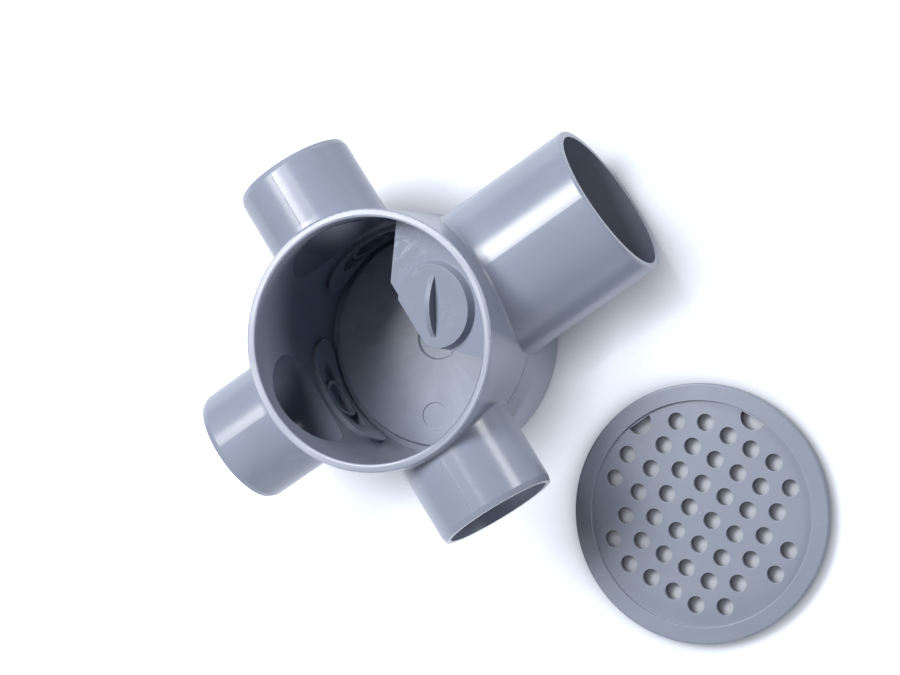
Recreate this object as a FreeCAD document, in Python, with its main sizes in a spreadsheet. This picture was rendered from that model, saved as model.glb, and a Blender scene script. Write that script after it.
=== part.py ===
import FreeCAD, Part
import os
import Sketcher
from FreeCAD import Placement, Rotation, Vector

# Multi floor trap: a round moulded body with three inlet spigots and one larger outlet spigot,
# a plate that closes it from below, a cover over the outlet chamber, and a loose round grating.
# The trap stands upright: the axis of the body is Z, the underside is z = 0 and the outlet points along X.

doc = FreeCAD.newDocument("MultiFloorTrap")
sheet = doc.addObject("Spreadsheet::Sheet", "Sizes")

SIZES = [
    ("body_diameter", 118.0, "outside of the round body"),
    ("body_wall", 3.8, "wall of the round body"),
    ("body_height", 91.5, "underside to rim of the mouth"),
    ("socket_depth", 8.0, "straight socket in the mouth"),
    ("bore_draft", 0.3, "how much the bore narrows from the socket to the base"),
    ("rim_round", 0.9, "rounding of the rim"),
    ("foot_round", 0.8, "rounding of the lower outer edge"),
    ("saddle_round", 1.2, "fillet where a spigot leaves the body"),
    ("spigot_root", 3.0, "body out to where a spigot becomes straight"),
    ("spigot_flare", 1.2, "how much wider a spigot is at its start inside the body"),
    ("inlet_diameter", 56.0, "outside of an inlet spigot"),
    ("inlet_reach", 92.5, "axis of the body to the end of an inlet"),
    ("inlet_top_gap", 4.5, "rim down to the top of an inlet"),
    ("inlet_end_bore", 50.0, "bore of an inlet at its open end"),
    ("inlet_port_bore", 47.6, "bore of an inlet where it enters the body"),
    ("inlet_lead_length", 2.6, "length of the lead-in chamfer of an inlet"),
    ("inlet_lead_depth", 0.8, "depth of the lead-in chamfer of an inlet"),
    ("outlet_diameter", 75.0, "outside of the outlet spigot"),
    ("outlet_wall", 3.2, "wall of the outlet spigot"),
    ("outlet_reach", 115.5, "axis of the body to the end of the outlet"),
    ("outlet_lift", 1.5, "underside up to the lowest line of the outlet"),
    ("outlet_lead_length", 1.0, "length of the lead-in chamfer of the outlet"),
    ("outlet_lead_depth", 0.4, "depth of the lead-in chamfer of the outlet"),
    ("seat_depth", 2.8, "height of the seat for the base plate"),
    ("seat_step", 1.3, "how far the seat is wider than the bore"),
    ("base_clearance", 0.1, "cement gap round the base plate"),
    ("floor_rise", 1.7, "raised middle of the base plate"),
    ("floor_round", 0.9, "rounding of the raised middle"),
    ("gutter_width", 3.4, "gutter between the raised middle and the wall"),
    ("gate_mark_diameter", 20.8, "round gate mark in the middle of the floor"),
    ("gate_mark_depth", 0.8, "depth of the gate mark"),
    ("gate_mark_slope", 48.0, "slant of the gate mark's side"),
    ("ejector_diameter", 12.6, "round ejector mark on the floor"),
    ("ejector_circle", 74.0, "circle that the ejector marks lie on"),
    ("ejector_turn", 54.5, "turn of the first ejector mark from the outlet"),
    ("ejector_depth", 0.4, "depth of the ejector marks"),
    ("weir_setback", 32.0, "axis of the body to the face of the weir"),
    ("weir_thickness", 2.4, "plate of the weir"),
    ("weir_height", 30.5, "weir above the floor"),
    ("weir_clearance", 0.2, "cement gap at the ends of the weir"),
    ("front_setback", 16.4, "axis of the body to the front of the partition"),
    ("left_angle", 46.0, "slant of the left partition wall from the outlet axis"),
    ("right_angle", 44.0, "slant of the right partition wall from the outlet axis"),
    ("left_margin", 10.0, "outlet port to the left partition wall"),
    ("right_margin", 1.1, "outlet port to the right partition wall"),
    ("partition_wall", 2.8, "wall of the partition"),
    ("dip_gap", 11.0, "floor up to the lower edge of the partition"),
    ("dip_margin", 2.0, "end of the low passage before the weir"),
    ("root_depth", 1.0, "how far inner walls run into the body wall"),
    ("cover_margin", 4.7, "outlet bore up to the cover, at the wall"),
    ("cover_slope", 16.7, "fall of the cover towards the middle"),
    ("cover_thickness", 3.0, "plate of the cover"),
    ("cover_clearance", 0.4, "cover to the bore of the body"),
    ("ledge_width", 2.0, "ledge on the wall under the cover"),
    ("ledge_depth", 2.5, "thickness of that ledge"),
    ("skirt_wall", 2.0, "locating skirt under the cover"),
    ("skirt_depth", 4.0, "depth of that skirt"),
    ("skirt_clearance", 0.3, "skirt to the partition walls"),
    ("boss_setback", 16.2, "front of the cover to the middle of the disc, along the slope"),
    ("boss_offset", 1.5, "disc towards the right of the outlet axis"),
    ("boss_foot_diameter", 41.0, "raised disc where it leaves the cover"),
    ("boss_top_diameter", 38.0, "raised disc at its top"),
    ("boss_height", 3.5, "height of the raised disc"),
    ("grip_length", 29.0, "half-moon grip, end to end"),
    ("grip_height", 4.5, "half-moon grip at its middle"),
    ("grip_thickness", 2.6, "plate of the grip"),
    ("grip_turn", 52.4, "turn of the grip on the disc"),
    ("grip_root", 0.4, "how far the grip runs into the disc"),
    ("relief_width", 57.0, "oblong relief on the wall under an inlet, round the wall"),
    ("relief_height", 24.0, "oblong relief, upwards"),
    ("relief_gap", 2.6, "floor up to the relief"),
    ("relief_depth", 2.4, "how far the relief stands off the wall"),
    ("dish_width", 15.6, "dish inside the ring of the relief, round the wall"),
    ("dish_height", 14.6, "dish inside the ring of the relief, upwards"),
    ("ring_diameter", 20.0, "ring round that dish"),
    ("moat_width", 35.0, "oval hollow that the ring stands in, round the wall"),
    ("moat_height", 19.0, "oval hollow that the ring stands in, upwards"),
    ("dish_sink", 1.2, "how far the dish and the hollow run into the body wall"),
    ("grating_diameter", 120.0, "outside of the grating"),
    ("flange_thickness", 4.2, "outer flange of the grating"),
    ("flange_round", 0.8, "rounding of the flange"),
    ("lip_depth", 2.2, "locating lip below the flange"),
    ("lip_wall", 2.7, "wall of the locating lip"),
    ("lip_clearance", 0.3, "locating lip to the bore of the body"),
    ("recess_diameter", 104.4, "recessed middle of the grating"),
    ("recess_depth", 1.4, "depth of the recess"),
    ("plate_thickness", 3.2, "perforated plate"),
    ("hole_diameter", 8.0, "drain hole"),
    ("hole_pitch", 12.6, "drain holes along a column"),
    ("column_pitch", 12.2, "column to column"),
    ("edge_pitch", 13.0, "last column to the one before it"),
    ("slot_inset", 1.2, "lip to the flat side of a lifting slot"),
    ("slot_radius", 5.8, "round side of a lifting slot"),
    ("slot_spread", 64.0, "lifting slot to lifting slot, as an angle"),
    ("grating_side", 64.6, "grating from the body axis, along the outlet"),
    ("grating_front", 137.9, "grating from the body axis, across the outlet"),
    ("grating_turn", 28.0, "turn of the hole columns from the outlet axis"),
]
for row, (alias, number, note) in enumerate(SIZES, start=1):
    sheet.set("A%d" % row, note)
    sheet.set("B%d" % row, str(number))
    sheet.setAlias("B%d" % row, alias)
doc.recompute()

# Sizes that several pieces share, written as formulas of the sheet.
BORE = "(Sizes.body_diameter / 2 - Sizes.body_wall)"
ROOT = "(%s + Sizes.root_depth)" % BORE
SEAT = "(%s + Sizes.seat_step)" % BORE
FLOOR = "(Sizes.seat_depth + Sizes.floor_rise)"
INLET_AXIS = "(Sizes.body_height - Sizes.inlet_top_gap - Sizes.inlet_diameter / 2)"
OUTLET_AXIS = "(Sizes.outlet_lift + Sizes.outlet_diameter / 2)"
OUTLET_BORE = "(Sizes.outlet_diameter / 2 - Sizes.outlet_wall)"
PORT_EDGE = "sqrt(%s ^ 2 - %s ^ 2)" % (BORE, OUTLET_BORE)
COVER_SEAT = "(%s + %s + Sizes.cover_margin)" % (OUTLET_AXIS, OUTLET_BORE)
FALL = "tan(Sizes.cover_slope * 1 deg)"
LEVEL = "cos(Sizes.cover_slope * 1 deg)"


def number(formula):
    return float(sheet.evalExpression(formula))


def under_cover(distance, drop="0"):
    """Height of the cover's lower face at a distance from the body axis, less a drop along its normal."""
    return "(%s - (%s - (%s)) * %s - (%s) / %s)" % (COVER_SEAT, BORE, distance, FALL, drop, LEVEL)


# Sketches.

XY = Placement(Vector(0, 0, 0), Rotation())
XZ = Placement(Vector(0, 0, 0), Rotation(Vector(1, 0, 0), 90))


def draw_corners(sketch, corners):
    """Draw a closed outline whose corners are pairs of formulas."""
    points = [Vector(number(across), number(up), 0) for across, up in corners]
    first = sketch.GeometryCount
    count = len(points)
    for index in range(count):
        sketch.addGeometry(Part.LineSegment(points[index], points[(index + 1) % count]), False)
    for index in range(count):
        following = first + (index + 1) % count
        sketch.addConstraint(Sketcher.Constraint("Coincident", first + index, 2, following, 1))
    for index, (across, up) in enumerate(corners):
        for kind, formula in (("DistanceX", across), ("DistanceY", up)):
            held = sketch.addConstraint(Sketcher.Constraint(kind, -1, 1, first + index, 1, number(formula)))
            label = "%s%d" % (kind, first + index)
            sketch.renameConstraint(held, label)
            sketch.setExpression("Constraints." + label, formula)


def outline(name, corners, plane=XY):
    sketch = doc.addObject("Sketcher::SketchObject", name)
    sketch.Placement = plane
    draw_corners(sketch, corners)
    return sketch


def attached(body, name, role):
    """Start a sketch on one of a body's own origin planes."""
    sketch = body.newObject("Sketcher::SketchObject", name)
    plane = [item for item in body.Origin.OriginFeatures if item.Role == role][0]
    sketch.AttachmentSupport = [(plane, "")]
    sketch.MapMode = "FlatFace"
    return sketch


# Solids.

def bound(kind, name, **formulas):
    item = doc.addObject(kind, name)
    for prop, formula in formulas.items():
        item.setExpression(prop, formula)
    return item


def cylinder(name, radius, height):
    return bound("Part::Cylinder", name, Radius=radius, Height=height)


def turned(name, sketch, axis):
    item = doc.addObject("Part::Revolution", name)
    item.Source = sketch
    item.Axis = axis
    item.Angle = 360
    item.Solid = True
    return item


def pulled(name, sketch, length, both_ways=False):
    item = doc.addObject("Part::Extrusion", name)
    item.Base = sketch
    item.DirMode = "Normal"
    item.Solid = True
    item.Symmetric = both_ways
    item.setExpression("LengthFwd", length)
    return item


def fused(name, *items):
    item = doc.addObject("Part::MultiFuse", name)
    item.Shapes = list(items)
    item.Refine = True
    return item


def shared(name, *items):
    item = doc.addObject("Part::MultiCommon", name)
    item.Shapes = list(items)
    return item


def cut(name, base, tool):
    item = doc.addObject("Part::Cut", name)
    item.Base = base
    item.Tool = tool
    return item


def rounded(name, base, radius, wanted):
    """Fillet the edges of a finished shape that the test picks out."""
    doc.recompute()
    size = number("Sizes." + radius)
    item = doc.addObject("Part::Fillet", name)
    item.Base = base
    item.Edges = [(i, size, size) for i, edge in enumerate(base.Shape.Edges, start=1) if wanted(edge)]
    return item


def level_circle(height, radius=None):
    """A test for the round edges that lie level at a height, of one radius or of any."""
    def test(edge):
        if not isinstance(edge.Curve, Part.Circle):
            return False
        if abs(edge.Curve.Center.z - height) > 1e-4 or abs(abs(edge.Curve.Axis.z) - 1) > 1e-6:
            return False
        return radius is None or abs(edge.Curve.Radius - radius) < 1e-4
    return test


# trap_body: the outside. Spigots are turned forms that start inside the body, with a slight flare at
# their root.

INLET_HEADINGS = (90, 180, 270)

body_blank = cylinder("body_blank", "Sizes.body_diameter / 2", "Sizes.body_height")


def spigot_corners(family):
    radius = "Sizes.%s_diameter / 2" % family
    reach = "Sizes.%s_reach" % family
    start = "Sizes.body_diameter / 4"
    return [
        (start, "0"),
        (reach, "0"),
        (reach, "%s - Sizes.%s_lead_depth" % (radius, family)),
        ("%s - Sizes.%s_lead_length" % (reach, family), radius),
        ("Sizes.body_diameter / 2 + Sizes.spigot_root", radius),
        (start, "%s + Sizes.spigot_flare" % radius),
    ]


inlet_form = outline("inlet_form", spigot_corners("inlet"), XZ)
outlet_form = outline("outlet_form", spigot_corners("outlet"), XZ)
inlet_bore_form = outline("inlet_bore_form", [
    ("0", "0"),
    ("Sizes.inlet_reach", "0"),
    ("Sizes.inlet_reach", "Sizes.inlet_end_bore / 2"),
    (BORE, "Sizes.inlet_port_bore / 2"),
    ("0", "Sizes.inlet_port_bore / 2"),
], XZ)
outlet_bore_form = outline("outlet_bore_form", [
    ("0", "0"),
    ("Sizes.outlet_reach", "0"),
    ("Sizes.outlet_reach", OUTLET_BORE),
    ("0", OUTLET_BORE),
], XZ)


def spigot(name, form, heading, axis_height):
    item = turned(name, form, Vector(1, 0, 0))
    item.Placement = Placement(Vector(0, 0, 0), Rotation(Vector(0, 0, 1), heading))
    item.setExpression("Placement.Base.z", axis_height)
    return item


inlets = [spigot("inlet_%d" % h, inlet_form, h, INLET_AXIS) for h in INLET_HEADINGS]
inlet_bores = [spigot("inlet_bore_%d" % h, inlet_bore_form, h, INLET_AXIS) for h in INLET_HEADINGS]
outlet = spigot("outlet", outlet_form, 0, OUTLET_AXIS)
outlet_bore = spigot("outlet_bore", outlet_bore_form, 0, OUTLET_AXIS)

outside = fused("outside", body_blank, outlet, *inlets)
saddles = rounded("saddles", outside, "saddle_round", lambda edge: isinstance(edge.Curve, Part.BSplineCurve))

# The bore: a straight socket in the mouth, a slight draft below it, and the wider seat for the base plate.
bore_form = outline("bore_form", [
    ("0", "0"),
    (SEAT, "0"),
    (SEAT, "Sizes.seat_depth"),
    ("%s - Sizes.bore_draft" % BORE, "Sizes.seat_depth"),
    (BORE, "Sizes.body_height - Sizes.socket_depth"),
    (BORE, "Sizes.body_height"),
    ("0", "Sizes.body_height"),
], XZ)
bore = turned("bore", bore_form, Vector(0, 0, 1))
hollow = fused("hollow", bore, outlet_bore, *inlet_bores)
shell = cut("shell", saddles, hollow)
rim = rounded("rim", shell, "rim_round", level_circle(number("Sizes.body_height")))
foot = rounded("foot", rim, "foot_round", level_circle(0, number("Sizes.body_diameter / 2")))

# The partition: a front wall and two slanted walls that close in the outlet port. They stop short of the
# floor in front of the weir, so that water passes under them, and they carry the cover on their sloping tops.


def chamber_corners(inset):
    """Outline of the outlet chamber, moved in from the partition's outer face."""
    front = "(Sizes.front_setback + %s)" % inset
    corners = []
    for side, sign in (("left", "1"), ("right", "-1")):
        slant = "(Sizes.%s_angle * 1 deg)" % side
        inner = "(Sizes.front_setback + Sizes.partition_wall)"
        at_wall = "(%s + Sizes.%s_margin)" % (OUTLET_BORE, side)
        at_front = "(%s - (%s - %s) * tan(%s))" % (at_wall, PORT_EDGE, inner, slant)
        moved = "(%s - Sizes.partition_wall) * (1 - sin(%s)) / cos(%s)" % (inset, slant, slant)
        near = "%s * (%s - %s)" % (sign, at_front, moved)
        run = "(Sizes.body_diameter / 2)"
        far = "%s + %s * %s * sin(%s)" % (near, sign, run, slant)
        corners.append(((front, near), ("%s + %s * cos(%s)" % (front, run, slant), far)))
    (left_near, left_far), (right_near, right_far) = corners
    return [left_far, left_near, right_near, right_far]


def chamber(name, inset):
    sketch = outline(name + "_outline", chamber_corners(inset))
    return pulled(name, sketch, "Sizes.body_height")


FAR = "Sizes.body_diameter"
WIDE = "2 * Sizes.body_diameter"
PASSAGE = "(Sizes.weir_setback - Sizes.dip_margin)"
DIP = "(%s + Sizes.dip_gap)" % FLOOR

chamber_outer = chamber("chamber_outer", "0")
chamber_inner = chamber("chamber_inner", "Sizes.partition_wall")
chamber_band = cut("chamber_band", chamber_outer, chamber_inner)
partition_side = outline("partition_side", [
    ("0", DIP),
    (PASSAGE, DIP),
    (PASSAGE, FLOOR),
    (FAR, FLOOR),
    (FAR, under_cover(FAR)),
    ("0", under_cover("0")),
], XZ)
partition_slab = pulled("partition_slab", partition_side, WIDE, True)
root_core = cylinder("root_core", ROOT, "Sizes.body_height")
partition = shared("partition", chamber_band, partition_slab, root_core)

# A narrow ledge on the wall carries the rear of the cover.
ledge_core = cylinder("ledge_core", "%s - Sizes.ledge_width" % BORE, "Sizes.body_height")
ledge_ring = cut("ledge_ring", root_core, ledge_core)
ledge_side = outline("ledge_side", [
    ("0", under_cover("0", "Sizes.ledge_depth")),
    (FAR, under_cover(FAR, "Sizes.ledge_depth")),
    (FAR, under_cover(FAR)),
    ("0", under_cover("0")),
], XZ)
ledge_slab = pulled("ledge_slab", ledge_side, WIDE, True)
ledge = shared("ledge", ledge_ring, ledge_slab, chamber_outer)

# An oblong relief on the wall under each inlet: a pad with round ends, an oval hollow in it, and in the
# hollow a ring round a dish.
OUTWARD = Rotation(Vector(1, 1, 1), 120)
RELIEF_HEIGHT = "(%s + Sizes.relief_gap + Sizes.relief_height / 2)" % FLOOR


def outward(name, form, heading):
    """Stand a flat form up at a heading and pull it outward from half the bore."""
    turn = Rotation(Vector(0, 0, 1), heading)
    start = turn.multVec(Vector(number(BORE) / 2, 0, number(RELIEF_HEIGHT)))
    form.Placement = Placement(start, turn.multiply(OUTWARD))
    prism = pulled(name, form, BORE)
    prism.DirMode = "Custom"
    prism.Dir = turn.multVec(Vector(1, 0, 0))
    return prism


def oval(name, heading, width, height):
    form = bound("Part::Ellipse", name + "_oval", MajorRadius=width + " / 2", MinorRadius=height + " / 2")
    return outward(name, form, heading)


def oblong(name, heading, width, height):
    """A prism with level sides and round ends."""
    form = doc.addObject("Sketcher::SketchObject", name + "_oblong")
    reach = "(%s - %s) / 2" % (width, height)
    end = Vector(number(reach), 0, 0)
    rise = Vector(0, number(height) / 2, 0)
    nose = Vector(number(height) / 2, 0, 0)
    form.addGeometry(Part.LineSegment(end * -1 - rise, end - rise), False)
    form.addGeometry(Part.Arc(end - rise, end + nose, end + rise), False)
    form.addGeometry(Part.LineSegment(end + rise, rise - end), False)
    form.addGeometry(Part.Arc(rise - end, end * -1 - nose, end * -1 - rise), False)
    for index in range(4):
        form.addConstraint(Sketcher.Constraint("Tangent", index, 2, (index + 1) % 4, 1))
    form.addConstraint(Sketcher.Constraint("Horizontal", 0))
    form.addConstraint(Sketcher.Constraint("Horizontal", 2))
    form.addConstraint(Sketcher.Constraint("PointOnObject", 1, 3, -1))
    for label, formula, *held in (
        ("right_end", reach, "DistanceX", -1, 1, 1, 3),
        ("left_end", reach, "DistanceX", 3, 3, -1, 1),
        ("curve", height + " / 2", "Radius", 1),
    ):
        place = form.addConstraint(Sketcher.Constraint(*held, number(formula)))
        form.renameConstraint(place, label)
        form.setExpression("Constraints." + label, formula)
    return outward(name, form, heading)


RELIEF_FACE = "(%s - Sizes.relief_depth)" % BORE
relief_core = cylinder("relief_core", RELIEF_FACE, "Sizes.body_height")
relief_ring = cut("relief_ring", root_core, relief_core)
dish_core = cylinder("dish_core", "%s - Sizes.root_depth" % RELIEF_FACE, "Sizes.body_height")
dish_reach = cylinder("dish_reach", "%s + Sizes.dish_sink" % BORE, "Sizes.body_height")
dish_ring = cut("dish_ring", dish_reach, dish_core)
raised = []
sunk = []
for heading in INLET_HEADINGS:
    pad = oblong("pad_%d" % heading, heading, "Sizes.relief_width", "Sizes.relief_height")
    raised.append(shared("relief_%d" % heading, pad, relief_ring))
    moat = oval("moat_%d" % heading, heading, "Sizes.moat_width", "Sizes.moat_height")
    ring = oval("ring_%d" % heading, heading, "Sizes.ring_diameter", "Sizes.ring_diameter")
    hollow = cut("hollow_%d" % heading, moat, ring)
    sunk.append(shared("hollow_cut_%d" % heading, hollow, dish_ring))
    dish = oval("dish_%d" % heading, heading, "Sizes.dish_width", "Sizes.dish_height")
    sunk.append(shared("dish_cut_%d" % heading, dish, dish_ring))

walls = fused("walls", foot, partition, ledge, *raised)
trap_body = cut("trap_body", walls, fused("hollows_and_dishes", *sunk))

# base_cap: the plate that closes the body from below. Its raised middle is the floor of the trap, with a
# round gate mark and four ejector marks, and the weir stands on it.

base_cap = doc.addObject("PartDesign::Body", "base_cap")
plate_form = attached(base_cap, "base_form", "XZ_Plane")
FLOOR_EDGE = "(%s - Sizes.gutter_width)" % BORE
PLATE_EDGE = "(%s - Sizes.base_clearance)" % SEAT
draw_corners(plate_form, [
    ("0", "0"),
    (PLATE_EDGE, "0"),
    (PLATE_EDGE, "Sizes.seat_depth"),
    (FLOOR_EDGE, "Sizes.seat_depth"),
    (FLOOR_EDGE, FLOOR),
    ("0", FLOOR),
])
base_plate = base_cap.newObject("PartDesign::Revolution", "base_plate")
base_plate.Profile = plate_form
base_plate.ReferenceAxis = (plate_form, ["V_Axis"])
base_plate.Angle = 360
doc.recompute()


def circle(sketch, across, up, radius):
    """Draw a circle whose middle and radius are formulas."""
    middle = Vector(number(across), number(up), 0)
    index = sketch.addGeometry(Part.Circle(middle, Vector(0, 0, 1), number(radius)), False)
    for kind, formula in (("DistanceX", across), ("DistanceY", up)):
        held = sketch.addConstraint(Sketcher.Constraint(kind, -1, 1, index, 3, number(formula)))
        sketch.renameConstraint(held, "%s%d" % (kind, index))
        sketch.setExpression("Constraints.%s%d" % (kind, index), formula)
    held = sketch.addConstraint(Sketcher.Constraint("Radius", index, number(radius)))
    sketch.renameConstraint(held, "Radius%d" % index)
    sketch.setExpression("Constraints.Radius%d" % index, radius)


def shifted(sketch, height):
    sketch.setExpression("AttachmentOffset.Base.z", height)


def pocket(body, name, sketch, depth):
    """Cut down from the sketch by a depth."""
    item = body.newObject("PartDesign::Pocket", name)
    item.Profile = sketch
    item.setExpression("Length", depth)
    doc.recompute()
    return item


gate_form = attached(base_cap, "gate_form", "XY_Plane")
shifted(gate_form, FLOOR)
circle(gate_form, "0", "0", "Sizes.gate_mark_diameter / 2")
gate_mark = pocket(base_cap, "gate_mark", gate_form, "Sizes.gate_mark_depth")
gate_mark.setExpression("TaperAngle", "-Sizes.gate_mark_slope * 1 deg")
doc.recompute()

ejector_form = attached(base_cap, "ejector_form", "XY_Plane")
shifted(ejector_form, FLOOR)
EJECTOR_ANGLE = "(Sizes.ejector_turn * 1 deg)"
circle(ejector_form, "Sizes.ejector_circle / 2 * cos(%s)" % EJECTOR_ANGLE,
       "Sizes.ejector_circle / 2 * sin(%s)" % EJECTOR_ANGLE, "Sizes.ejector_diameter / 2")
ejector_mark = pocket(base_cap, "ejector_mark", ejector_form, "Sizes.ejector_depth")
ejector_marks = base_cap.newObject("PartDesign::PolarPattern", "ejector_marks")
ejector_marks.Originals = [ejector_mark]
ejector_marks.Axis = (plate_form, ["V_Axis"])
ejector_marks.Angle = 360
ejector_marks.Occurrences = 4
base_cap.Tip = ejector_marks
doc.recompute()


def inner_face(side, distance):
    """How far a partition wall's inner face stands from the outlet axis at a distance from the body axis."""
    slant = "(Sizes.%s_angle * 1 deg)" % side
    at_wall = "(%s + Sizes.%s_margin)" % (OUTLET_BORE, side)
    return "(%s - (%s - %s) * tan(%s))" % (at_wall, PORT_EDGE, distance, slant)


weir_form = attached(base_cap, "weir_form", "XY_Plane")
WEIR_LEFT = "%s - Sizes.weir_clearance" % inner_face("left", "Sizes.weir_setback")
WEIR_RIGHT = "Sizes.weir_clearance - %s" % inner_face("right", "Sizes.weir_setback")
WEIR_BACK = "Sizes.weir_setback + Sizes.weir_thickness"
draw_corners(weir_form, [
    ("Sizes.weir_setback", WEIR_RIGHT),
    (WEIR_BACK, WEIR_RIGHT),
    (WEIR_BACK, WEIR_LEFT),
    ("Sizes.weir_setback", WEIR_LEFT),
])
weir = base_cap.newObject("PartDesign::Pad", "weir")
weir.Profile = weir_form
weir.setExpression("Length", "%s + Sizes.weir_height" % FLOOR)
base_cap.Tip = weir
doc.recompute()

floor_edge = level_circle(number(FLOOR), number(FLOOR_EDGE))
floor_round = base_cap.newObject("PartDesign::Fillet", "floor_round_edge")
floor_round.Base = (weir, [
    "Edge%d" % i for i, edge in enumerate(weir.Shape.Edges, start=1) if floor_edge(edge)])
floor_round.setExpression("Radius", "Sizes.floor_round")
base_cap.Tip = floor_round
doc.recompute()

# cleanout_cover: a sloping plate on the partition walls, with a skirt inside them. Its raised disc is cut off
# flush with the front of the plate and carries a half-moon finger grip.

cover_side = outline("cover_side", [
    ("0", under_cover("0")),
    (FAR, under_cover(FAR)),
    (FAR, under_cover(FAR, "-Sizes.cover_thickness")),
    ("0", under_cover("0", "-Sizes.cover_thickness")),
], XZ)
cover_slab = pulled("cover_slab", cover_side, WIDE, True)
cover_core = cylinder("cover_core", "%s - Sizes.cover_clearance" % BORE, "Sizes.body_height")
cover_plate = shared("cover_plate", chamber_outer, cover_slab, cover_core)

SKIRT_OUTSIDE = "(Sizes.partition_wall + Sizes.skirt_clearance)"
skirt_outer = chamber("skirt_outer", SKIRT_OUTSIDE)
skirt_inner = chamber("skirt_inner", "(%s + Sizes.skirt_wall)" % SKIRT_OUTSIDE)
skirt_band = cut("skirt_band", skirt_outer, skirt_inner)
skirt_side = outline("skirt_side", [
    ("0", under_cover("0", "Sizes.skirt_depth")),
    (FAR, under_cover(FAR, "Sizes.skirt_depth")),
    (FAR, under_cover(FAR)),
    ("0", under_cover("0")),
], XZ)
skirt_slab = pulled("skirt_slab", skirt_side, WIDE, True)
SKIRT_REACH = "(%s - Sizes.ledge_width - Sizes.cover_clearance)" % BORE
skirt_core = cylinder("skirt_core", SKIRT_REACH, "Sizes.body_height")
skirt = shared("skirt", skirt_band, skirt_slab, skirt_core)

disc = bound("Part::Cone", "disc", Height="Sizes.boss_height",
             Radius1="Sizes.boss_foot_diameter / 2", Radius2="Sizes.boss_top_diameter / 2")
grip_form = doc.addObject("Sketcher::SketchObject", "grip_form")
grip_form.Placement = XZ
GRIP_REACH = "Sizes.grip_length / 2"
GRIP_RISE = "(Sizes.grip_height + Sizes.grip_root)"
GRIP_RADIUS = "((%s) ^ 2 + %s ^ 2) / (2 * %s)" % (GRIP_REACH, GRIP_RISE, GRIP_RISE)
grip_left = Vector(-number(GRIP_REACH), 0, 0)
grip_right = Vector(number(GRIP_REACH), 0, 0)
grip_form.addGeometry(Part.LineSegment(grip_left, grip_right), False)
grip_form.addGeometry(Part.Arc(grip_right, Vector(0, number(GRIP_RISE), 0), grip_left), False)
grip_form.addConstraint(Sketcher.Constraint("Coincident", 0, 2, 1, 1))
grip_form.addConstraint(Sketcher.Constraint("Coincident", 1, 2, 0, 1))
grip_form.addConstraint(Sketcher.Constraint("PointOnObject", 0, 1, -1))
grip_form.addConstraint(Sketcher.Constraint("Symmetric", 0, 1, 0, 2, -1, 1))
grip_span = grip_form.addConstraint(Sketcher.Constraint("DistanceX", 0, 1, 0, 2, number("Sizes.grip_length")))
grip_form.renameConstraint(grip_span, "span")
grip_form.setExpression("Constraints.span", "Sizes.grip_length")
grip_curve = grip_form.addConstraint(Sketcher.Constraint("Radius", 1, number(GRIP_RADIUS)))
grip_form.renameConstraint(grip_curve, "curve")
grip_form.setExpression("Constraints.curve", GRIP_RADIUS)
grip = pulled("grip", grip_form, "Sizes.grip_thickness", True)
grip.Placement = Placement(Vector(0, 0, 0), Rotation(Vector(0, 0, 1), number("Sizes.grip_turn")))
grip.setExpression("Placement.Base.z", "Sizes.boss_height - Sizes.grip_root")
grip.setExpression("Placement.Rotation.Angle", "Sizes.grip_turn")

handle = fused("handle", disc, grip)
DISC_AT = "(Sizes.front_setback + Sizes.boss_setback * %s)" % LEVEL
handle.Placement = Placement(Vector(0, 0, 0), Rotation(Vector(0, -1, 0), number("Sizes.cover_slope")))
DISC_LEAN = "Sizes.cover_thickness * sin(Sizes.cover_slope * 1 deg)"
handle.setExpression("Placement.Base.x", DISC_AT + " - " + DISC_LEAN)
handle.setExpression("Placement.Base.y", "-Sizes.boss_offset")
handle.setExpression("Placement.Base.z", under_cover(DISC_AT) + " + Sizes.cover_thickness * " + LEVEL)
handle.setExpression("Placement.Rotation.Angle", "Sizes.cover_slope")
handle_trimmed = shared("handle_trimmed", handle, pulled("chamber_tall", chamber_outer.Base, WIDE))
cleanout_cover = fused("cleanout_cover", cover_plate, skirt, handle_trimmed)

# grating: a turned plate with an outer flange and a locating lip below it, perforated in columns.

grating = doc.addObject("PartDesign::Body", "grating")
grating_form = attached(grating, "grating_form", "XZ_Plane")
LIP_OUT = "(%s - Sizes.lip_clearance)" % BORE
LIP_IN = "(%s - Sizes.lip_wall)" % LIP_OUT
GRATING_TOP = "(Sizes.lip_depth + Sizes.flange_thickness)"
PLATE_TOP = "(%s - Sizes.recess_depth)" % GRATING_TOP
PLATE_UNDER = "(%s - Sizes.plate_thickness)" % PLATE_TOP
draw_corners(grating_form, [
    ("0", PLATE_UNDER),
    (LIP_IN, PLATE_UNDER),
    (LIP_IN, "0"),
    (LIP_OUT, "0"),
    (LIP_OUT, "Sizes.lip_depth"),
    ("Sizes.grating_diameter / 2", "Sizes.lip_depth"),
    ("Sizes.grating_diameter / 2", GRATING_TOP),
    ("Sizes.recess_diameter / 2", GRATING_TOP),
    ("Sizes.recess_diameter / 2", PLATE_TOP),
    ("0", PLATE_TOP),
])
grating_plate = grating.newObject("PartDesign::Revolution", "grating_plate")
grating_plate.Profile = grating_form
grating_plate.ReferenceAxis = (grating_form, ["V_Axis"])
grating_plate.Angle = 360
doc.recompute()

flange_edge = level_circle(number(GRATING_TOP), number("Sizes.grating_diameter / 2"))
flange_round = grating.newObject("PartDesign::Fillet", "flange_round_edge")
flange_round.Base = (grating_plate, [
    "Edge%d" % i for i, edge in enumerate(grating_plate.Shape.Edges, start=1) if flange_edge(edge)])
flange_round.setExpression("Radius", "Sizes.flange_round")
grating.Tip = flange_round
doc.recompute()

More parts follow.
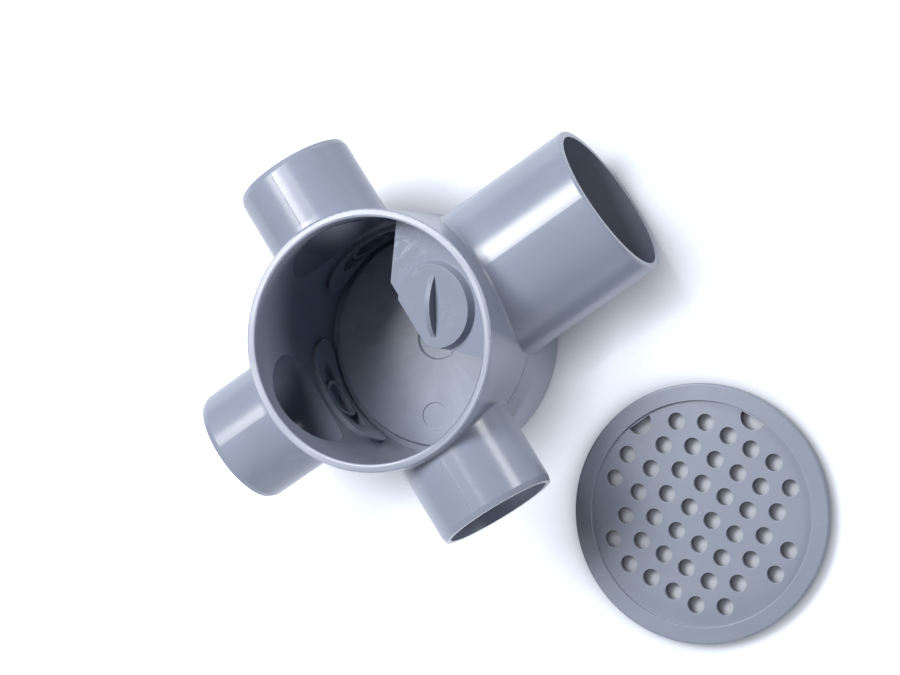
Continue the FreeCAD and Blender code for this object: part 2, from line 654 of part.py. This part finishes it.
# Columns of holes on each side of the middle: how far out each stands, and how many holes it has.
COLUMN_OFFSETS = [
    "0.5 * Sizes.column_pitch",
    "1.5 * Sizes.column_pitch",
    "2.5 * Sizes.column_pitch",
    "2.5 * Sizes.column_pitch + Sizes.edge_pitch",
]
COLUMN_COUNTS = [7, 7, 6, 2]
hole_form = attached(grating, "hole_form", "XY_Plane")
shifted(hole_form, GRATING_TOP)
for offset, holes in zip(COLUMN_OFFSETS, COLUMN_COUNTS):
    for side in ("", "-"):
        for index in range(holes):
            along = "%s * Sizes.hole_pitch" % (index - (holes - 1) / 2)
            circle(hole_form, along, "%s(%s)" % (side, offset), "Sizes.hole_diameter / 2")
holes_cut = pocket(grating, "holes", hole_form, GRATING_TOP)

slot_form = attached(grating, "slot_form", "XY_Plane")
shifted(slot_form, GRATING_TOP)
SLOT_AT = "(%s - Sizes.slot_inset)" % LIP_IN
slot_middle = Vector(-number(SLOT_AT), 0, 0)
slot_end = Vector(0, number("Sizes.slot_radius"), 0)
slot_nose = Vector(number("Sizes.slot_radius"), 0, 0)
slot_form.addGeometry(Part.LineSegment(slot_middle + slot_end, slot_middle - slot_end), False)
slot_arc = Part.Arc(slot_middle - slot_end, slot_middle + slot_nose, slot_middle + slot_end)
slot_form.addGeometry(slot_arc, False)
slot_form.addConstraint(Sketcher.Constraint("Coincident", 0, 2, 1, 1))
slot_form.addConstraint(Sketcher.Constraint("Coincident", 1, 2, 0, 1))
slot_form.addConstraint(Sketcher.Constraint("Symmetric", 0, 1, 0, 2, 1, 3))
slot_form.addConstraint(Sketcher.Constraint("Vertical", 0))
slot_form.addConstraint(Sketcher.Constraint("PointOnObject", 1, 3, -1))
slot_place = slot_form.addConstraint(Sketcher.Constraint("DistanceX", 1, 3, -1, 1, number(SLOT_AT)))
slot_form.renameConstraint(slot_place, "place")
slot_form.setExpression("Constraints.place", SLOT_AT)
slot_curve = slot_form.addConstraint(Sketcher.Constraint("Radius", 1, number("Sizes.slot_radius")))
slot_form.renameConstraint(slot_curve, "curve")
slot_form.setExpression("Constraints.curve", "Sizes.slot_radius")
slot_cut = pocket(grating, "lifting_slot", slot_form, GRATING_TOP)
lifting_slots = grating.newObject("PartDesign::PolarPattern", "lifting_slots")
lifting_slots.Originals = [slot_cut]
lifting_slots.Axis = (grating_form, ["V_Axis"])
lifting_slots.setExpression("Angle", "Sizes.slot_spread")
lifting_slots.Occurrences = 2
grating.Tip = lifting_slots

HALF_TURN = 180
GRATING_HEADING = "Sizes.grating_turn + %d" % HALF_TURN
grating.Placement = Placement(Vector(0, 0, 0), Rotation(Vector(0, 0, 1), number(GRATING_HEADING)))
grating.setExpression("Placement.Base.x", "Sizes.grating_side")
grating.setExpression("Placement.Base.y", "-Sizes.grating_front")
grating.setExpression("Placement.Rotation.Angle", GRATING_HEADING)
doc.recompute()

# Checks, then one file for each piece.

PIECES = [trap_body, base_cap, cleanout_cover, grating]
for item in doc.Objects:
    if "Invalid" in item.State or "Error" in item.State:
        raise RuntimeError("%s did not build: %s" % (item.Name, item.State))
for item in PIECES:
    if item.Shape.isNull() or not item.Shape.isValid() or len(item.Shape.Solids) != 1:
        raise RuntimeError("%s is not one valid solid" % item.Label)

os.makedirs("parts", exist_ok=True)
for item in PIECES:
    item.Shape.exportStep("parts/%s.step" % item.Label)
    box = item.Shape.BoundBox
    print("%-16s %9.1f mm3  %6.1f x %6.1f x %6.1f mm" % (
        item.Label, item.Shape.Volume, box.XLength, box.YLength, box.ZLength))
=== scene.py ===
import math

import bmesh
import bpy
from mathutils import Matrix, Vector


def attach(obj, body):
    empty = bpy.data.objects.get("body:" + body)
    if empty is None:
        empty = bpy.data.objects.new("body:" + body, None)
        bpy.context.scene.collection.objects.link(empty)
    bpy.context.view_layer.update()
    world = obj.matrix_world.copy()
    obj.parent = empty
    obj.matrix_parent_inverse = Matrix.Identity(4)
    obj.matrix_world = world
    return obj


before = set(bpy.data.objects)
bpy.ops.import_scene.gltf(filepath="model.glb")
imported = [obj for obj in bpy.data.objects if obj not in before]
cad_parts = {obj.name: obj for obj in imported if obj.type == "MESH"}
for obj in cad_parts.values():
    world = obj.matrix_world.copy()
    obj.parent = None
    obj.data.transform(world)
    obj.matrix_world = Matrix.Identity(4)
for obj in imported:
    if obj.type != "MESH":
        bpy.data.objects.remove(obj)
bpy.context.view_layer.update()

# Trap body: one injection moulding in blue-grey uPVC, with a satin skin straight from a polished mould.
# Its colour is dyed through, so it varies only softly; its rubbed places are a little paler, and its edges
# are painted paler, partly wear and partly painted highlight.
UPVC_DYE = (0.232, 0.261, 0.338, 1.0)
UPVC_IOR = 1.53
UPVC_SPECULAR = 0.42


def add_node(tree, kind, settings=None, **inputs):
    """Add a node with its settings and the values of its inputs."""
    made = tree.nodes.new(kind)
    for name, value in (settings or {}).items():
        setattr(made, name, value)
    for name, value in inputs.items():
        made.inputs[name.replace("_", " ")].default_value = value
    return made


def feed(tree, entry_socket, term):
    """Link another node's socket to an input, or set the input to a value."""
    if isinstance(term, bpy.types.NodeSocket):
        tree.links.new(term, entry_socket)
    else:
        entry_socket.default_value = term


def number_node(tree, operation, *terms, clamp=False):
    """A Math node; each term is a number or a socket."""
    made = add_node(tree, "ShaderNodeMath", {"operation": operation, "use_clamp": clamp})
    for entry_socket, term in zip(made.inputs, terms):
        feed(tree, entry_socket, term)
    return made.outputs["Value"]


def vector_node(tree, operation, *terms):
    """A Vector Math node; each term is a vector or a socket, and a SCALE has its scale as its second."""
    made = add_node(tree, "ShaderNodeVectorMath", {"operation": operation})
    entries = (made.inputs[0], made.inputs["Scale"]) if operation == "SCALE" else made.inputs
    for entry_socket, term in zip(entries, terms):
        feed(tree, entry_socket, term)
    return made.outputs["Value" if operation in ("LENGTH", "DISTANCE") else "Vector"]


def noise_node(tree, place, scale, detail, roughness=0.5, distortion=0.0):
    """A noise pattern laid over a place."""
    made = add_node(tree, "ShaderNodeTexNoise", Scale=scale, Detail=detail, Roughness=roughness,
                    Distortion=distortion)
    tree.links.new(place, made.inputs["Vector"])
    return made.outputs["Fac"]


def spread(tree, value, low, high, to_low=0.0, to_high=1.0):
    """Stretch a value from one range to another, held at its ends; the new ends may be sockets."""
    made = add_node(tree, "ShaderNodeMapRange", From_Min=low, From_Max=high)
    tree.links.new(value, made.inputs["Value"])
    feed(tree, made.inputs["To Min"], to_low)
    feed(tree, made.inputs["To Max"], to_high)
    return made.outputs["Result"]


def mixed(tree, factor, plain, other):
    """Mix a colour socket towards a fixed colour."""
    made = add_node(tree, "ShaderNodeMix", {"data_type": "RGBA"})
    entries = {socket.identifier: socket for socket in made.inputs}
    tree.links.new(factor, entries["Factor_Float"])
    tree.links.new(plain, entries["A_Color"])
    entries["B_Color"].default_value = other
    return [socket for socket in made.outputs if socket.identifier == "Result_Color"][0]


# The skin of the plastic, for every piece. First the soft clouding of its dye, coarse and fine.
CLOUD_BAND = (0.4, 0.9)
FINE_CLOUD_SHARE = 0.3
skin = bpy.data.node_groups.new("upvc_skin", "ShaderNodeTree")
for way, name, kind in (
    ("INPUT", "Place", "NodeSocketVector"),
    ("INPUT", "Dye", "NodeSocketColor"),
    ("INPUT", "Clouding", "NodeSocketFloat"),
    ("INPUT", "Rubbing", "NodeSocketFloat"),
    ("INPUT", "Edge Paleness", "NodeSocketFloat"),
    ("INPUT", "Gloss Roughness", "NodeSocketFloat"),
    ("OUTPUT", "Colour", "NodeSocketColor"),
    ("OUTPUT", "Roughness", "NodeSocketFloat"),
    ("OUTPUT", "Height", "NodeSocketFloat"),
    ("OUTPUT", "Normal", "NodeSocketVector"),
):
    skin.interface.new_socket(name=name, in_out=way, socket_type=kind)
entry = add_node(skin, "NodeGroupInput")
leave = add_node(skin, "NodeGroupOutput")
skin_place = entry.outputs["Place"]
cloud = noise_node(skin, skin_place, scale=15.0, detail=3.0, distortion=0.5)
fine_cloud = noise_node(skin, skin_place, scale=105.0, detail=3.0, roughness=0.55)
both_clouds = number_node(skin, "MULTIPLY_ADD", fine_cloud, FINE_CLOUD_SHARE, cloud)
cloud_low = number_node(skin, "SUBTRACT", 1.0, entry.outputs["Clouding"])
cloud_high = number_node(skin, "ADD", 1.0, entry.outputs["Clouding"])
cloud_level = spread(skin, both_clouds, *CLOUD_BAND, cloud_low, cloud_high)
clouded = vector_node(skin, "SCALE", entry.outputs["Dye"], cloud_level)

# Rubbed lines: long, hair-thin noise, only inside loose patches, and a few specks of dust.
LINE_TURN = (0.4, 0.9, 0.5)
LINE_STRETCH = (1.0, 26.0, 22.0)
LINE_BAND = (0.62, 0.74)
PATCH_BAND = (0.50, 0.66)
SPECK_BAND = (0.79, 0.86)
stretch = add_node(skin, "ShaderNodeMapping", Rotation=LINE_TURN, Scale=LINE_STRETCH)
skin.links.new(skin_place, stretch.inputs["Vector"])
line_noise = noise_node(skin, stretch.outputs["Vector"], scale=44.0, detail=3.0, roughness=0.6)
lines = spread(skin, line_noise, *LINE_BAND)
patches = spread(skin, noise_node(skin, skin_place, scale=24.0, detail=2.0), *PATCH_BAND)
specks = spread(skin, noise_node(skin, skin_place, scale=1000.0, detail=0.0), *SPECK_BAND)
rubbed_lines = number_node(skin, "MULTIPLY", lines, patches)
lines_and_specks = number_node(skin, "MAXIMUM", rubbed_lines, specks)
rubbed = number_node(skin, "MULTIPLY", lines_and_specks, entry.outputs["Rubbing"])

# Pale outer edges, where a ray into the plastic soon leaves it again: partly wear, partly painted
# highlight.
# Each edge is shaded a bit rounded.
WORN_AND_HIGHLIGHT_PALE = (0.45, 0.48, 0.56, 1.0)
EDGE_REACH = 0.0006
EDGE_BAND = (0.80, 0.52)
EDGE_ROUNDING = 0.0004
into = add_node(skin, "ShaderNodeAmbientOcclusion", {"samples": 8, "inside": True, "only_local": True},
                Distance=EDGE_REACH)
edge_mask = spread(skin, into.outputs["AO"], *EDGE_BAND)
edge_highlight_and_wear = number_node(skin, "MULTIPLY", edge_mask, entry.outputs["Edge Paleness"])
pale = number_node(skin, "MAXIMUM", edge_highlight_and_wear, rubbed)
skin.links.new(mixed(skin, pale, clouded, WORN_AND_HIGHLIGHT_PALE), leave.inputs["Colour"])
rounded = add_node(skin, "ShaderNodeBevel", {"samples": 6}, Radius=EDGE_ROUNDING)
skin.links.new(rounded.outputs["Normal"], leave.inputs["Normal"])

# Roughness follows the fine clouding and the rubbed lines; the height is a faint ripple under a fine grain.
CLOUD_ROUGHNESS = 0.06
RUBBED_ROUGHNESS = 0.35
GRAIN_SHARE = 0.2
rough_start = number_node(skin, "SUBTRACT", entry.outputs["Gloss Roughness"], CLOUD_ROUGHNESS / 2)
rough_cloud = number_node(skin, "MULTIPLY_ADD", fine_cloud, CLOUD_ROUGHNESS, rough_start)
rough = number_node(skin, "MULTIPLY_ADD", rubbed, RUBBED_ROUGHNESS, rough_cloud, clamp=True)
grain = noise_node(skin, skin_place, scale=1200.0, detail=2.0)
ripple = noise_node(skin, skin_place, scale=80.0, detail=1.0)
skin.links.new(rough, leave.inputs["Roughness"])
skin.links.new(number_node(skin, "MULTIPLY_ADD", grain, GRAIN_SHARE, ripple), leave.inputs["Height"])


def upvc(name, dye, clouding, rubbing, edge_paleness, roughness, depth):
    """A material of the shared skin; returns it, its tree, its shader, and its colour and place sockets."""
    material = bpy.data.materials.new(name)
    material.use_nodes = True
    tree = material.node_tree
    shader = [item for item in tree.nodes if item.type == "BSDF_PRINCIPLED"][0]
    shader.inputs["IOR"].default_value = UPVC_IOR
    shader.inputs["Specular IOR Level"].default_value = UPVC_SPECULAR
    place = add_node(tree, "ShaderNodeTexCoord").outputs["Object"]
    face = add_node(tree, "ShaderNodeGroup", {"node_tree": skin}, Dye=dye, Clouding=clouding,
                    Rubbing=rubbing, Edge_Paleness=edge_paleness, Gloss_Roughness=roughness)
    bump = add_node(tree, "ShaderNodeBump", Strength=1.0, Distance=depth)
    tree.links.new(place, face.inputs["Place"])
    tree.links.new(face.outputs["Colour"], shader.inputs["Base Color"])
    tree.links.new(face.outputs["Roughness"], shader.inputs["Roughness"])
    tree.links.new(face.outputs["Height"], bump.inputs["Height"])
    tree.links.new(face.outputs["Normal"], bump.inputs["Normal"])
    tree.links.new(bump.outputs["Normal"], shader.inputs["Normal"])
    return material, tree, shader, face.outputs["Colour"], place


def coat(node, material):
    """Give a whole CAD piece one material."""
    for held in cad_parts[node].material_slots:
        held.material = material


body_upvc, body_tree, body_shader, body_colour, body_place = upvc(
    "body_upvc", UPVC_DYE, clouding=0.035, rubbing=0.07, edge_paleness=0.34, roughness=0.24, depth=0.00003)

# The rim is painted paler in thin rings: a painted sheen for the light its flat top catches.
RIM_SHEEN_HEIGHTS = (0.0908, 0.0913)
RIM_SHEEN_PALE = (0.48, 0.51, 0.60, 1.0)
RING_PITCH = 0.0011
RING_BREAKS = (26.0, 26.0, 26.0)
RING_BAND = (0.40, 0.60)
RING_STRENGTH = (0.0, 0.40)
FLATTENED = (1.0, 1.0, 0.0)
rim_height = add_node(body_tree, "ShaderNodeSeparateXYZ")
body_tree.links.new(body_place, rim_height.inputs["Vector"])
rim_radius = vector_node(body_tree, "LENGTH", vector_node(body_tree, "MULTIPLY", body_place, FLATTENED))
rim_rings = add_node(body_tree, "ShaderNodeCombineXYZ")
feed(body_tree, rim_rings.inputs["Z"], number_node(body_tree, "DIVIDE", rim_radius, RING_PITCH))
rim_place = vector_node(body_tree, "MULTIPLY_ADD", body_place, RING_BREAKS, rim_rings.outputs["Vector"])
rim_noise = noise_node(body_tree, rim_place, scale=1.0, detail=4.0, roughness=0.6)
on_rim = spread(body_tree, rim_height.outputs["Z"], *RIM_SHEEN_HEIGHTS)
rim_sheen_rings = spread(body_tree, rim_noise, *RING_BAND, *RING_STRENGTH)
rim_painted_sheen = number_node(body_tree, "MULTIPLY", on_rim, rim_sheen_rings)
rim_sheen_colour = mixed(body_tree, rim_painted_sheen, body_colour, RIM_SHEEN_PALE)
body_tree.links.new(rim_sheen_colour, body_shader.inputs["Base Color"])
coat("trap_body", body_upvc)

# Witness lines of the mould on the body: a hair-thin ridge along the top and underside of the two inlets
# that lie in its parting plane, and one on the wall that slopes down from the root of each inlet towards
# the outlet.
RIDGE_WIDTH = 0.00036
RIDGE_RISE = 0.00013
RIDGE_ROUNDING = 0.7 * RIDGE_RISE
BODY_RADIUS = 0.059
INLET_AXIS_HEIGHT = 0.059
INLET_RADIUS = 0.028
INLET_STRAIGHT = (0.0622, 0.0898)
STEP_TURNS = (-62.5, -41.0)
STEP_HEIGHTS = (0.0495, 0.0415)
STEP_ROUNDS = 14
STEP_SIDES = 10
SEAM_GAP = 1e-7


def turn_shape(shape, degrees, axis):
    """Turn a whole bmesh about an axis through the origin."""
    turning = Matrix.Rotation(math.radians(degrees), 3, axis)
    bmesh.ops.rotate(shape, cent=(0, 0, 0), matrix=turning, verts=shape.verts)


def round_edges(shape, offset):
    """Round every edge of a bmesh."""
    bmesh.ops.bevel(shape, geom=shape.edges[:], offset=offset, offset_type="OFFSET", affect="EDGES",
                    segments=2, profile=0.5, material=-1)


def new_piece(name, shape, material):
    """Make a smooth object from a bmesh, riding on the trap."""
    for face in shape.faces:
        face.smooth = True
    mesh = bpy.data.meshes.new(name)
    shape.to_mesh(mesh)
    shape.free()
    mesh.materials.append(material)
    piece = bpy.data.objects.new(name, mesh)
    bpy.context.scene.collection.objects.link(piece)
    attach(piece, "root")
    return piece


ridge_length = INLET_STRAIGHT[1] - INLET_STRAIGHT[0]
ridge_middle = (INLET_STRAIGHT[0] + INLET_STRAIGHT[1]) / 2
for side, turn in (("left", 90.0), ("right", -90.0)):
    for level, lift in (("top", INLET_RADIUS), ("under", -INLET_RADIUS)):
        ridge = bmesh.new()
        bmesh.ops.create_cube(ridge, size=1.0)
        bmesh.ops.scale(ridge, vec=(ridge_length, RIDGE_WIDTH, 2 * RIDGE_RISE), verts=ridge.verts)
        round_edges(ridge, RIDGE_ROUNDING)
        bmesh.ops.translate(ridge, vec=(ridge_middle, 0, INLET_AXIS_HEIGHT + lift), verts=ridge.verts)
        turn_shape(ridge, turn, "Z")
        new_piece("parting_line_%s_%s" % (side, level), ridge, body_upvc)

for side, mirrored in (("left", -1), ("right", 1)):
    step = bmesh.new()
    bmesh.ops.create_circle(step, cap_ends=True, segments=STEP_SIDES, radius=RIDGE_WIDTH / 2)
    turn_shape(step, 90, "X")
    bmesh.ops.translate(step, vec=(BODY_RADIUS, 0, STEP_HEIGHTS[0]), verts=step.verts)
    turn_shape(step, STEP_TURNS[0] * mirrored, "Z")
    sweep_angle = math.radians(STEP_TURNS[1] - STEP_TURNS[0]) * mirrored
    fall = (STEP_HEIGHTS[1] - STEP_HEIGHTS[0]) / STEP_ROUNDS
    bmesh.ops.spin(step, geom=step.verts[:] + step.edges[:] + step.faces[:], cent=(0, 0, 0), axis=(0, 0, 1),
                   angle=sweep_angle, steps=STEP_ROUNDS, dvec=(0, 0, fall), use_merge=False,
                   use_duplicate=False)
    bmesh.ops.remove_doubles(step, verts=step.verts[:], dist=SEAM_GAP)
    bmesh.ops.recalc_face_normals(step, faces=step.faces[:])
    new_piece("witness_step_%s" % side, step, body_upvc)

# Base plate: a separate moulding cemented in from below; its upper face is the floor of the trap, a little
# duller than the body, with flow marks spreading from the gate in its middle.
GATE_SHADE_TONES = (0.86, 1.08)
GATE_SHADE_REACH = (0.014, 0.046)
FLOW_LENGTHWISE = 11.0
FLOW_BAND = (0.3, 0.7)
FLOW_TONES = (0.91, 1.08)
base_upvc, base_tree, base_shader, base_colour, base_place = upvc(
    "base_upvc", UPVC_DYE, clouding=0.05, rubbing=0.20, edge_paleness=0.30, roughness=0.36, depth=0.00005)
flat_place = vector_node(base_tree, "MULTIPLY", base_place, FLATTENED)
heading = vector_node(base_tree, "NORMALIZE", flat_place)
from_gate = vector_node(base_tree, "LENGTH", flat_place)
along_flow = add_node(base_tree, "ShaderNodeCombineXYZ")
feed(base_tree, along_flow.inputs["Z"], number_node(base_tree, "MULTIPLY", from_gate, FLOW_LENGTHWISE))
flow_place = vector_node(base_tree, "ADD", heading, along_flow.outputs["Vector"])
flow_noise = noise_node(base_tree, flow_place, scale=4.5, detail=5.0, roughness=0.6)
flow_marks = spread(base_tree, flow_noise, *FLOW_BAND, *FLOW_TONES)
# Painted shade: the floor's colour is darker round the gate, standing in for the light's falloff there.
gate_painted_shade = spread(base_tree, from_gate, *GATE_SHADE_REACH, *GATE_SHADE_TONES)
flow_and_shade_tone = number_node(base_tree, "MULTIPLY", flow_marks, gate_painted_shade)
flowed_and_shaded = vector_node(base_tree, "SCALE", base_colour, flow_and_shade_tone)
base_tree.links.new(flowed_and_shaded, base_shader.inputs["Base Color"])
coat("base_cap", base_upvc)

# Cover over the outlet chamber: a moulded plate pushed in on the partition walls, with a raised disc and
# a half-moon grip. It is scuffed in its upper corner by the rim, and on the disc where it was pushed.
CORNER_SCUFF = (0.034, 0.031, 0.0755)
CORNER_REACH = (0.021, 0.35 * 0.021)
THUMB_SCUFF = (0.0355, -0.0085, 0.0790)
THUMB_REACH = (0.009, 0.2 * 0.009)
THUMB_STRENGTH = (0.0, 0.5)
SCUFF_PALE = (0.50, 0.53, 0.61, 1.0)
SCUFF_TURN = (0.0, 0.0, math.radians(-38))
SCUFF_STRETCH = (1.0, 3.2, 1.0)
SCUFF_BAND = (0.52, 0.68)
SCUFF_STRENGTH = (0.0, 0.55)
cover_upvc, cover_tree, cover_shader, cover_colour, cover_place = upvc(
    "cover_upvc", UPVC_DYE, clouding=0.045, rubbing=0.24, edge_paleness=0.30, roughness=0.33, depth=0.00005)
from_corner = vector_node(cover_tree, "DISTANCE", cover_place, CORNER_SCUFF)
from_thumb = vector_node(cover_tree, "DISTANCE", cover_place, THUMB_SCUFF)
near_corner = spread(cover_tree, from_corner, *CORNER_REACH)
near_thumb = spread(cover_tree, from_thumb, *THUMB_REACH, *THUMB_STRENGTH)
scuff_turn = add_node(cover_tree, "ShaderNodeMapping", Rotation=SCUFF_TURN, Scale=SCUFF_STRETCH)
cover_tree.links.new(cover_place, scuff_turn.inputs["Vector"])
scuff_noise = noise_node(cover_tree, scuff_turn.outputs["Vector"], scale=170.0, detail=6.0, roughness=0.72,
                         distortion=0.8)
scuffs = spread(cover_tree, scuff_noise, *SCUFF_BAND, *SCUFF_STRENGTH)
near_either = number_node(cover_tree, "MAXIMUM", near_corner, near_thumb)
scuffed = number_node(cover_tree, "MULTIPLY", near_either, scuffs)
scuffed_colour = mixed(cover_tree, scuffed, cover_colour, SCUFF_PALE)
cover_tree.links.new(scuffed_colour, cover_shader.inputs["Base Color"])
coat("cleanout_cover", cover_upvc)

# Grating: a flat perforated moulding, lying beside the trap; satin on top, with paler edges at its holes,
# partly wear and partly painted highlight, and the broken-off nub of its gate in the middle.
GRATING_MIDDLE = (0.0646, -0.1379)
GRATING_PLATE_TOP = 0.0050
NUB_RADIUS = 0.0008
NUB_TOP_RADIUS = 0.6 * NUB_RADIUS
NUB_RISE = 0.00025
NUB_ROUNDING = 0.4 * NUB_RISE
NUB_SIDES = 20
# Its dye is the body's made darker, a painted shade for how dimly it lies in the light.
GRATING_SHADED_DYE = (0.211, 0.237, 0.307, 1.0)
grating_upvc = upvc(
    "grating_upvc", GRATING_SHADED_DYE, clouding=0.05, rubbing=0.16, edge_paleness=0.45, roughness=0.36,
    depth=0.00005)[0]
coat("grating", grating_upvc)
nub = bmesh.new()
bmesh.ops.create_cone(nub, cap_ends=True, segments=NUB_SIDES, radius1=NUB_RADIUS, radius2=NUB_TOP_RADIUS,
                      depth=2 * NUB_RISE)
round_edges(nub, NUB_ROUNDING)
bmesh.ops.translate(nub, vec=(*GRATING_MIDDLE, GRATING_PLATE_TOP), verts=nub.verts)
new_piece("grating_gate_nub", nub, grating_upvc)

# Floor: a seamless paper sweep. Its own mid grey takes the soft shadows of the pieces. A glow that only
# camera, glossy and transmission rays see makes it white; the glow is weaker where the floor is enclosed,
# a painted shade under and beside the pieces, as under the grating.
FLOOR_HALF = 6.0
SWEEP_GREY = (0.34, 0.36, 0.40, 1.0)
SWEEP_GLOW = 0.92
SWEEP_TINT = (0.86, 0.90, 1.0, 1.0)
ENCLOSED_REACH = 0.030
ENCLOSED_DEPTH = 2.0
sweep = bmesh.new()
bmesh.ops.create_grid(sweep, x_segments=1, y_segments=1, size=FLOOR_HALF)
sweep_mesh = bpy.data.meshes.new("floor")
sweep.to_mesh(sweep_mesh)
sweep.free()
floor = bpy.data.objects.new("floor", sweep_mesh)
bpy.context.scene.collection.objects.link(floor)
paper = bpy.data.materials.new("white_sweep")
paper.use_nodes = True
paper_tree = paper.node_tree
paper_tree.nodes.clear()
paper_out = add_node(paper_tree, "ShaderNodeOutputMaterial")
paper_face = add_node(paper_tree, "ShaderNodeBsdfDiffuse", Color=SWEEP_GREY)
paper_glow = add_node(paper_tree, "ShaderNodeEmission", Color=SWEEP_TINT)
paper_sum = add_node(paper_tree, "ShaderNodeAddShader")
seen = add_node(paper_tree, "ShaderNodeLightPath").outputs
open_sky = add_node(paper_tree, "ShaderNodeAmbientOcclusion", {"samples": 12}, Distance=ENCLOSED_REACH)
seen_first = number_node(paper_tree, "MAXIMUM", seen["Is Camera Ray"], seen["Is Glossy Ray"])
seen_any = number_node(paper_tree, "MAXIMUM", seen_first, seen["Is Transmission Ray"])
openness = number_node(paper_tree, "POWER", open_sky.outputs["AO"], ENCLOSED_DEPTH)
glow_open = number_node(paper_tree, "MULTIPLY", openness, SWEEP_GLOW)
glow_seen = number_node(paper_tree, "MULTIPLY", seen_any, glow_open)
paper_tree.links.new(glow_seen, paper_glow.inputs["Strength"])
paper_tree.links.new(paper_face.outputs["BSDF"], paper_sum.inputs[0])
paper_tree.links.new(paper_glow.outputs["Emission"], paper_sum.inputs[1])
paper_tree.links.new(paper_sum.outputs["Shader"], paper_out.inputs["Surface"])
floor.data.materials.append(paper)

# Light: a softbox from the upper left of the picture with a weaker one below it, one from the right, a low
# fill from the bottom that the gloss doesn't mirror, a narrow strip overhead for the thin shine on the
# inlets, and a dim room that is white only to the camera.
IMAGE_RIGHT = Vector((0.78022, -0.51100, -0.36074))
IMAGE_UP = Vector((0.54408, 0.83895, -0.01165))
TO_VIEWER = Vector((0.30860, -0.18718, 0.93259))
AIMED_AT = Vector((0.02, -0.03, 0.05))
LAMP_DISTANCE = 1.4
ROOM_TINT = (0.90, 0.94, 1.0, 1.0)
ROOM_LIGHT = 0.004


def softbox(name, across, up, towards, width, height, watts):
    """An area lamp placed by the picture's own directions and aimed at the middle of the trap."""
    lamp = bpy.data.lights.new(name, "AREA")
    lamp.shape = "RECTANGLE"
    lamp.size = width
    lamp.size_y = height
    lamp.energy = watts
    holder = bpy.data.objects.new(name, lamp)
    away = (IMAGE_RIGHT * across + IMAGE_UP * up + TO_VIEWER * towards).normalized()
    holder.location = AIMED_AT + away * LAMP_DISTANCE
    holder.rotation_euler = away.to_track_quat("Z", "Y").to_euler()
    bpy.context.scene.collection.objects.link(holder)
    return holder


softbox("key_softbox", -0.62, 0.39, 0.68, width=0.75, height=0.5, watts=18.0)
softbox("left_softbox", -0.755, 0.16, 0.64, width=0.5, height=0.5, watts=11.0)
softbox("right_softbox", 0.68, 0.47, 0.56, width=0.6, height=0.4, watts=10.0)
low_fill = softbox("low_fill", 0.04, -0.98, 0.11, width=1.0, height=0.16, watts=14.0)
low_fill.visible_glossy = False
softbox("overhead_strip", -0.36, 0.21, 0.91, width=0.06, height=0.5, watts=1.5)

world = bpy.data.worlds.new("pale_room")
bpy.context.scene.world = world
world.use_nodes = True
room = world.node_tree
room.nodes.clear()
room_out = add_node(room, "ShaderNodeOutputWorld")
room_light = add_node(room, "ShaderNodeBackground", Color=ROOM_TINT, Strength=ROOM_LIGHT)
room_white = add_node(room, "ShaderNodeBackground", Color=(1.0, 1.0, 1.0, 1.0), Strength=1.0)
room_seen = add_node(room, "ShaderNodeLightPath")
room_mix = add_node(room, "ShaderNodeMixShader")
room.links.new(room_seen.outputs["Is Camera Ray"], room_mix.inputs["Fac"])
room.links.new(room_light.outputs["Background"], room_mix.inputs[1])
room.links.new(room_white.outputs["Background"], room_mix.inputs[2])
room.links.new(room_mix.outputs["Shader"], room_out.inputs["Surface"])

# Camera: looks steeply down on the upright trap from about 1.2 m with a long lens, turned about its line of
# sight as the picture is.
CAMERA_AT = Vector((0.3688, -0.2235, 1.1028))
SENSOR_WIDTH = 36.0
LENS = 98.8
eye = bpy.data.cameras.new("camera")
eye.sensor_width = SENSOR_WIDTH
eye.lens = LENS
camera = bpy.data.objects.new("camera", eye)
turned = Matrix((IMAGE_RIGHT, IMAGE_UP, TO_VIEWER)).transposed()
camera.matrix_world = Matrix.Translation(CAMERA_AT) @ turned.to_4x4()
bpy.context.scene.collection.objects.link(camera)
bpy.context.scene.camera = camera
bpy.context.scene.view_settings.view_transform = "Standard"
